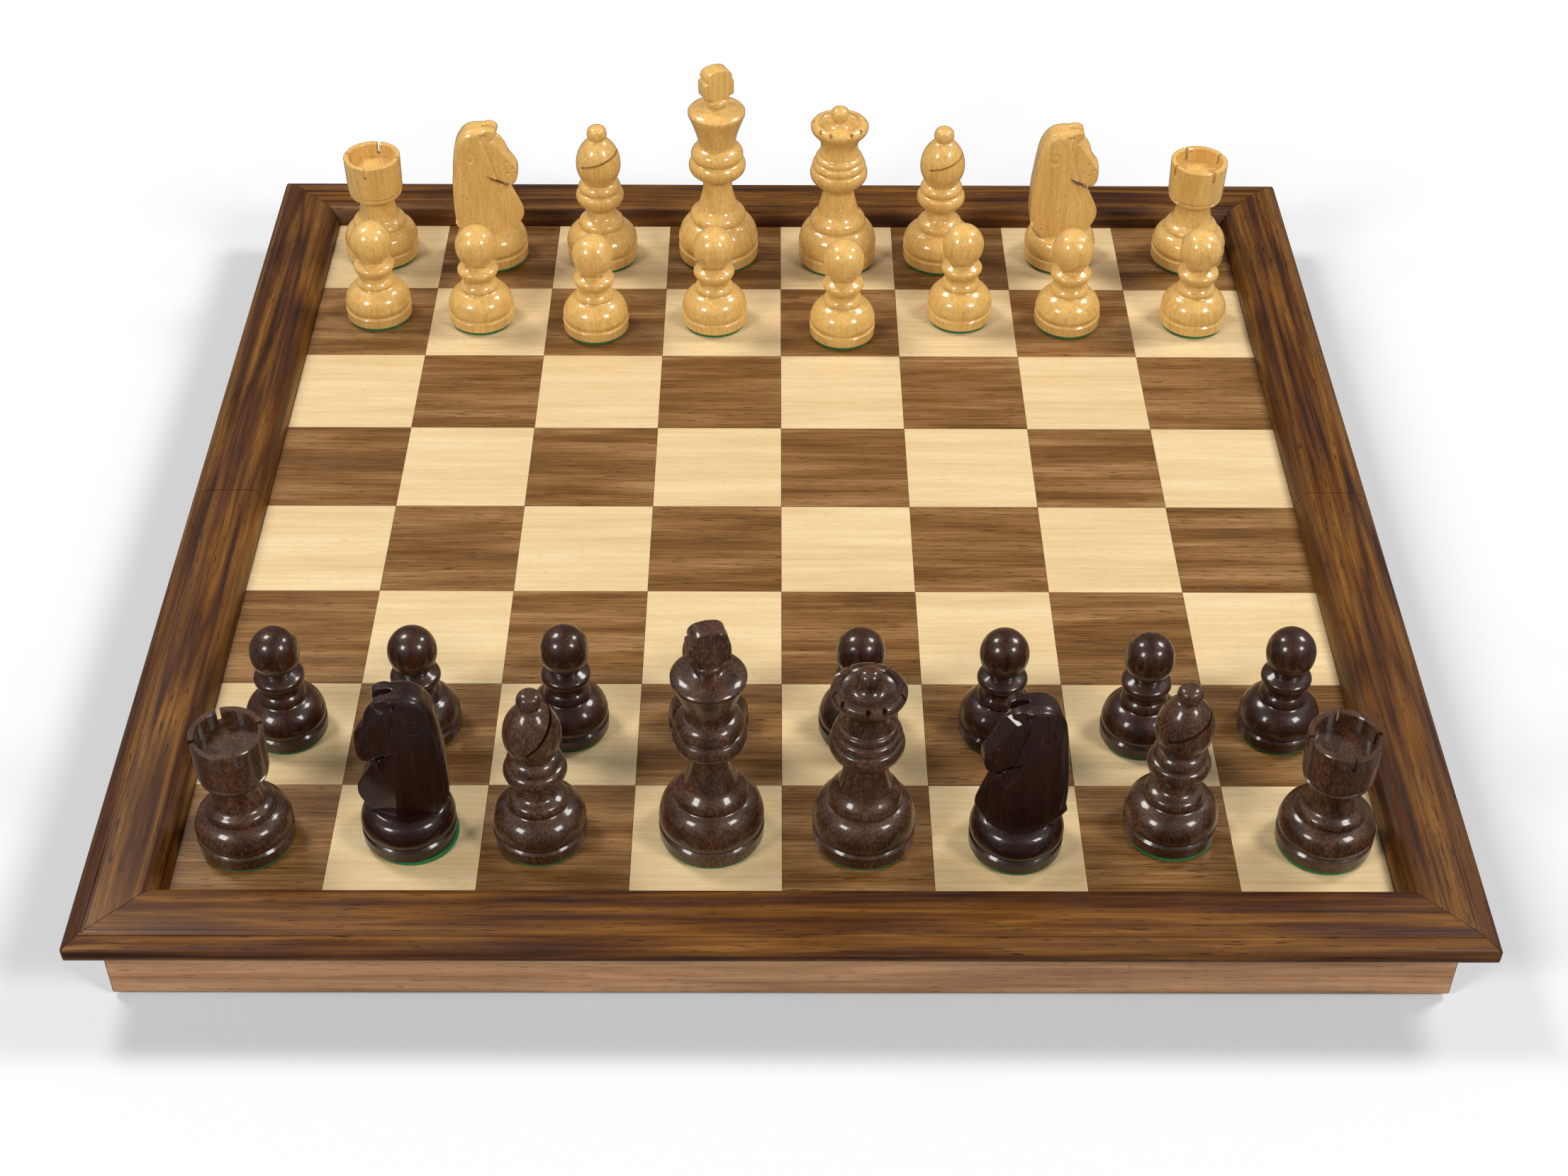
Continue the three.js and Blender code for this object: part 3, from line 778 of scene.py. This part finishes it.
VENEER = 0.6 * MM
TILE_JOINT = 0.05 * MM                   # half of the joint between two squares
CORNER_ROUND = 3 * MM                    # of the moulding's corners, seen from above
WALL_CORNER_ROUND = 1.5 * MM
MAGNET_PLAY = 0.1 * MM                   # round a magnet in its hole
MAGNET_GLUE = 0.2 * MM                   # behind the magnet
LEAF = 1 * MM                            # thickness of a hinge leaf
LEAF_PLAY = 0.15 * MM                    # round a leaf in its pocket
HINGE_GAP = 0.3 * MM                     # between knuckles, and between a barrel and its plate
PIN_PLAY = 0.12 * MM
SCREW_SUNK = 0.02 * MM                   # screw heads sit this far inside the leaf's face
ALONG_X = (0, radians(90), 0)            # lays a cylinder along the fold
BAR_SMOOTH = 28                          # degrees; steeper edges of a bar stay sharp
OTHER_SIDE = {"left": "right", "right": "left"}
# Moulding's section in mm: distance out from the playing field, height above it
MOULDING = [
    [(0, 0.15), (0.5, 2.0), (1.9, 4.7), (3.2, 6.2), (5.0, 6.85)],
    [(18.3, 6.85), (18.7, 6.55)],
    [(19.1, 6.5), (19.6, 6.85), (20.1, 6.8), (20.4, 6.35)],
    [(22.2, 5.7), (23.8, 4.9), (24.75, 3.7), (24.95, 2.6), (24.7, 1.3), (24.1, 0.3), (23.4, -0.2)],
    [(22.6, -0.8)],
    [(7.5, -0.8)],
    [(7.5, 0.15)],
]


def round_corner(piece, side, reach, radius):
    """Planes an upright corner of the board to a curve."""
    for angle in range(10, 90, 10):
        toward = Vector((side * cos(radians(angle)), sin(radians(angle)), 0))
        middle = Vector((side * (reach - radius), reach - radius, 0))
        trim(piece, middle + toward * radius, toward)


def mitre(piece, side, keep_end):
    """Cuts a bar along the corner's diagonal: keep_end says that the bar lies along the end."""
    normal = Vector((side, -1, 0)) * (1 if keep_end else -1)
    trim(piece, -normal.normalized() * GLUE, normal)


def make_bar(name, section, reach, radius, side=0):
    """A bar with the given section along the end (side 0), or along one side of the half. reach is
    from the board's centre to the bar's outer face, radius that of its upright corners."""
    if side:
        points = [Vector((side * (FIELD + p.x), SEAM, SURFACE + p.y)) for p in section]
        bar = slab(name, points, Vector((0, BOARD - SEAM, 0)))
        mitre(bar, side, False)
        round_corner(bar, side, reach, radius)
    else:
        points = [Vector((-BOARD, FIELD + p.x, SURFACE + p.y)) for p in section]
        bar = slab(name, points, Vector((2 * BOARD, 0, 0)))
        for corner in (-1, 1):
            mitre(bar, corner, True)
            round_corner(bar, corner, reach, radius)
    smooth(bar, BAR_SMOOTH)
    return bar


def belong(piece, half, node, material):
    """Hands a piece to its half of the board. node is the CAD node it stands for, or None."""
    finish_with(piece, material)
    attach(piece, BODY[half])
    if node:
        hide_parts(node)


def both_halves(piece, part, material):
    """The far piece, and its turned twin on the near half. part is the far node's name, without far_."""
    side, _, rest = part.partition("_")
    near_part = f"{OTHER_SIDE[side]}_{rest}" if side in OTHER_SIDE else part
    piece.name = "visual_far_" + part
    near = twin(piece, "visual_near_" + near_part, about_z(180))
    belong(piece, "far", "far_" + part, material)
    belong(near, "near", "near_" + near_part, material)


def box_section(node, axis):
    """Section of a wall with eased lower edges, taken from its CAD node."""
    inner, outer = low(node)[axis] - FIELD, high(node)[axis] - FIELD
    floor, top, ease = low(node).z - SURFACE, high(node).z - SURFACE, 0.7 * MM
    return [Vector(p) for p in (
        (inner + ease / 2, floor), (outer - 1.6 * ease, floor), (outer - 0.5 * ease, floor + 0.4 * ease),
        (outer, floor + 1.5 * ease), (outer, top), (inner, top), (inner, floor + ease / 2))]


def model_moulding():
    section = outline(MOULDING)
    end = make_bar("rail", section, BOARD, CORNER_ROUND)
    both_halves(end, "end_rail", walnut_along_x)
    for name, side in (("left", -1), ("right", 1)):
        rail = make_bar("rail", section, BOARD, CORNER_ROUND, side)
        both_halves(rail, name + "_rail", walnut_along_y)


def magnet_middle(side_name):
    return (low(f"far_{side_name}_magnet") + high(f"far_{side_name}_magnet")) / 2


def leaf_box(half, name):
    """Low and high corner of a hinge leaf's CAD node, barrel included."""
    node = f"{half}_{name}_hinge_leaf"
    return low(node), high(node)


def screw_places(name):
    """Three screws per leaf, the middle one set further from the fold."""
    leaf_low, leaf_high = leaf_box("far", name)
    middle = (leaf_low.x + leaf_high.x) / 2
    third = (leaf_high.x - leaf_low.x) / 3
    return [(middle + step * third, leaf_high.y - (2.4 if step == 0 else 3.0) * MM) for step in (-1, 0, 1)]


def model_walls():
    section = box_section("far_end_wall", 1)
    reach = high("far_end_wall").y
    wall = make_bar("wall", section, reach, WALL_CORNER_ROUND)
    for name in ("left", "right"):
        middle = magnet_middle(name)
        radius = high(f"far_{name}_magnet").x - middle.x + MAGNET_PLAY
        bottom = high(f"far_{name}_magnet").z + MAGNET_GLUE
        hole = start(bpy.ops.mesh.primitive_cylinder_add, "hole", vertices=48, radius=radius,
                     depth=2 * (bottom - RIM), location=(middle.x, middle.y, RIM))
        combine(wall, hole)
    smooth(wall, BAR_SMOOTH)
    both_halves(wall, "end_wall", wall_along_x)
    for name, side in (("left", -1), ("right", 1)):
        wall = make_bar("wall", section, reach, WALL_CORNER_ROUND, side)
        both_halves(wall, name + "_wall", wall_along_y)

    spine = block("spine", low("far_spine_wall"), high("far_spine_wall"), bevel=0.4 * MM)
    for name in ("left", "right"):
        leaf_low, leaf_high = leaf_box("far", name)
        combine(spine, block("pocket", (leaf_low.x - LEAF_PLAY, -SQUARE, -MM),
                             (leaf_high.x + LEAF_PLAY, leaf_high.y + LEAF_PLAY, RIM + LEAF + LEAF_PLAY)))
        for x, y in screw_places(name):
            pilot = start(bpy.ops.mesh.primitive_cylinder_add, "pilot", vertices=24, radius=1.05 * MM,
                          depth=6 * MM, location=(x, y, RIM + LEAF))
            combine(spine, pilot)
    smooth(spine, BAR_SMOOTH)
    both_halves(spine, "spine_wall", wall_along_x)


def model_field():
    """Plywood core with the squares' veneer on it, in two woods."""
    core = block("core", low("far_panel"), high("far_panel") - Vector((0, 0, VENEER)),
                 bevel=0.15 * MM, segments=1)
    both_halves(core, "panel", birch_plywood)
    for wood, parity, material in (("maple", 1, maple_veneer), ("walnut", 0, walnut_veneer)):
        rows = []
        for row in range(4):
            left = -FIELD + SQUARE * ((row + parity) % 2)
            tile = block(f"{wood}_row_{row}",
                         (left + TILE_JOINT, row * SQUARE + (TILE_JOINT if row else SEAM), SURFACE - VENEER),
                         (left + SQUARE - TILE_JOINT, (row + 1) * SQUARE - TILE_JOINT, SURFACE),
                         bevel=0.04 * MM, segments=1)
            set_modifier(tile, "ARRAY", count=4, use_relative_offset=False, use_constant_offset=True,
                         constant_offset_displace=(2 * SQUARE, 0, 0))
            rows.append(tile)
        squares = join(rows)
        squares.name = f"visual_far_{wood}_squares"
        near_squares = twin(squares, f"visual_near_{wood}_squares", about_z(180))
        belong(squares, "far", None, material)
        belong(near_squares, "near", None, material)


def model_lining():
    lining = block("lining", low("far_lining"), high("far_lining"), bevel=0.3 * MM)
    smooth(lining)
    both_halves(lining, "lining", green_felt)


def model_screw():
    """Countersunk slotted screw, head down at the origin."""
    screw = turn("screw", [[(0, 0)], [(1.75, 0)], [(1.85, 0.12)], [(0.9, 0.95)], [(0.85, 2.6)],
                           [(0.3, 3.3)], [(0, 3.4)]], steps=32)
    combine(screw, block("slot", (-3 * MM, -0.22 * MM, -0.2 * MM), (3 * MM, 0.22 * MM, 0.45 * MM)))
    return screw


def model_pin(name):
    """The pin, and its axis and radius for the leaves."""
    node = f"{name}_hinge_pin"
    pin_low, pin_high = low(node), high(node)
    axis, radius = (pin_low + pin_high) / 2, (pin_high.z - pin_low.z) / 2
    pin = start(bpy.ops.mesh.primitive_cylinder_add, f"visual_{name}_pin", vertices=40, radius=radius,
                depth=pin_high.x - pin_low.x, location=axis, rotation=ALONG_X)
    set_modifier(pin, "BEVEL", width=0.15 * MM, segments=2, limit_method="ANGLE")
    smooth(pin)
    belong(pin, "far", node, brass)
    return axis, radius


def model_knuckle(begin, run, side, barrel, height, pin_radius):
    """One roll of a leaf round the pin, with the tab that leads to the plate."""
    middle = (begin + run / 2, 0, height)
    tube = start(bpy.ops.mesh.primitive_cylinder_add, "tube", vertices=40, radius=barrel, depth=run,
                 location=middle, rotation=ALONG_X)
    set_modifier(tube, "BEVEL", width=0.12 * MM, segments=2, limit_method="ANGLE")
    root, tip = sorted((side * 0.9 * MM, side * 1.9 * MM))
    combine(tube, block("tab", (begin, root, RIM), (begin + run, tip, RIM + LEAF)), "UNION")
    bore = start(bpy.ops.mesh.primitive_cylinder_add, "bore", vertices=40, radius=pin_radius + PIN_PLAY,
                 depth=2 * run, location=middle, rotation=ALONG_X)
    combine(tube, bore)
    return tube


def model_hinges():
    """Per hinge a pin, and on each half a leaf with its knuckles and three screws."""
    screw = model_screw()
    for name in ("left", "right"):
        axis, pin_radius = model_pin(name)
        far_low, far_high = leaf_box("far", name)
        length = far_high.x - far_low.x
        first, third = axis.x - length / 2, length / 3
        knuckles = {"far": [(first, third - HINGE_GAP), (first + 2 * third + HINGE_GAP, third - HINGE_GAP)],
                    "near": [(first + third, third)]}
        for half, side in (("far", 1), ("near", -1)):
            leaf_low, leaf_high = leaf_box(half, name)
            barrel = axis.z - min(leaf_low.z, 0)
            low_y, high_y = sorted((side * (barrel + HINGE_GAP), leaf_high.y if side > 0 else leaf_low.y))
            plate = block(f"visual_{half}_{name}_leaf", (first, low_y, RIM),
                          (first + length, high_y, RIM + LEAF), bevel=0.2 * MM)
            for x, y in screw_places(name):
                hole = start(bpy.ops.mesh.primitive_cone_add, "countersink", vertices=40, radius1=2.05 * MM,
                             radius2=1.0 * MM, depth=1.1 * MM, location=(x, side * y, RIM + 0.5 * MM))
                combine(plate, hole)
            for begin, run in knuckles[half]:
                combine(plate, model_knuckle(begin, run, side, barrel, axis.z, pin_radius), "UNION")
            smooth(plate)
            belong(plate, half, f"{half}_{name}_hinge_leaf", brass)
            screws = join([
                twin(screw, f"screw_{i}", about_z(17 + 52 * i, (x, side * y, RIM + SCREW_SUNK)))
                for i, (x, y) in enumerate(screw_places(name))])
            screws.name = f"visual_{half}_{name}_screws"
            smooth(screws)
            belong(screws, half, None, brass)
    bpy.data.objects.remove(screw)


def model_magnets():
    for name in ("left", "right"):
        middle = magnet_middle(name)
        size = high(f"far_{name}_magnet") - low(f"far_{name}_magnet")
        magnet = start(bpy.ops.mesh.primitive_cylinder_add, "magnet", vertices=48, radius=size.x / 2,
                       depth=size.z, location=middle)
        set_modifier(magnet, "BEVEL", width=0.3 * MM, segments=3, limit_method="ANGLE")
        smooth(magnet)
        both_halves(magnet, name + "_magnet", nickel)


model_moulding()
model_walls()
model_field()
model_lining()
model_hinges()
model_magnets()


# ---------- camera, light and floor ----------

CAMERA_PLACE = (-3.2 * MM, -623.3 * MM, SURFACE + 511.9 * MM)
CAMERA_LENS = 53.4                       # mm, on a frame 36 mm wide; the angles are in degrees
CAMERA_FRAME = 36
CAMERA_DOWN = 41.4
CAMERA_RIGHT = 0.4
CAMERA_ROLL = 0.4
AIR_LIGHT = 0.18                         # light from all round; the backdrop itself stays white
LAMP_POWER = 14.2                        # watts
LAMP_DISTANCE = 1.7
LAMP_SIZE = 0.42
LAMP_COLOUR = (1.0, 0.97, 0.92)
LAMPS = {"front_left": (-0.62, -0.58, 0.62), "front_right": (0.62, -0.50, 0.64),
         "back_left": (-0.50, 0.30, 0.83), "back_right": (0.64, 0.26, 0.76)}
FLOOR_SIZE = 12
FLOOR_DROP = 0.2 * MM                    # keeps the floor clear of the rims that stand on it


def set_camera():
    data = bpy.data.cameras.new("camera")
    data.lens = CAMERA_LENS
    data.sensor_width = CAMERA_FRAME
    data.clip_start = 0.01
    camera = bpy.data.objects.new("camera", data)
    bpy.context.scene.collection.objects.link(camera)
    heading = Matrix.Rotation(radians(-CAMERA_RIGHT), 4, "Z")
    tilt = Matrix.Rotation(radians(90 - CAMERA_DOWN), 4, "X")
    roll = Matrix.Rotation(radians(CAMERA_ROLL), 4, "Z")
    camera.matrix_world = Matrix.Translation(CAMERA_PLACE) @ heading @ tilt @ roll
    bpy.context.scene.camera = camera


def hang_lamp(name, direction):
    """A soft square lamp, facing the middle of the board."""
    data = bpy.data.lights.new(name, "AREA")
    data.size = LAMP_SIZE
    data.energy = LAMP_POWER
    data.color = LAMP_COLOUR
    lamp = bpy.data.objects.new(name, data)
    bpy.context.scene.collection.objects.link(lamp)
    toward = Vector(direction).normalized()
    lamp.location = toward * LAMP_DISTANCE
    lamp.rotation_euler = toward.to_track_quat("Z", "Y").to_euler()


def set_air():
    """White backdrop for the camera, and soft light from all round for everything else."""
    world = bpy.data.worlds.new("studio_air")
    bpy.context.scene.world = world
    world.use_nodes = True
    tree = world.node_tree
    background = tree.nodes["Background"]
    background.inputs["Color"].default_value = (1, 1, 1, 1)
    seen = tree.nodes.new("ShaderNodeLightPath").outputs["Is Camera Ray"]
    strength = tree.nodes.new("ShaderNodeMapRange")
    strength.inputs["To Min"].default_value = AIR_LIGHT
    strength.inputs["To Max"].default_value = 1.0
    tree.links.new(seen, strength.inputs["Value"])
    tree.links.new(strength.outputs["Result"], background.inputs["Strength"])


def lay_floor():
    """Pale floor that takes the shadows, and that the lacquer doesn't mirror."""
    floor = start(bpy.ops.mesh.primitive_plane_add, "floor", size=FLOOR_SIZE,
                  location=(0, 0, -FLOOR_DROP))
    floor.is_shadow_catcher = True
    floor.visible_glossy = False


set_camera()
for lamp_name, lamp_direction in LAMPS.items():
    hang_lamp("lamp_" + lamp_name, lamp_direction)
set_air()
lay_floor()
bpy.context.scene.view_settings.view_transform = "Standard"
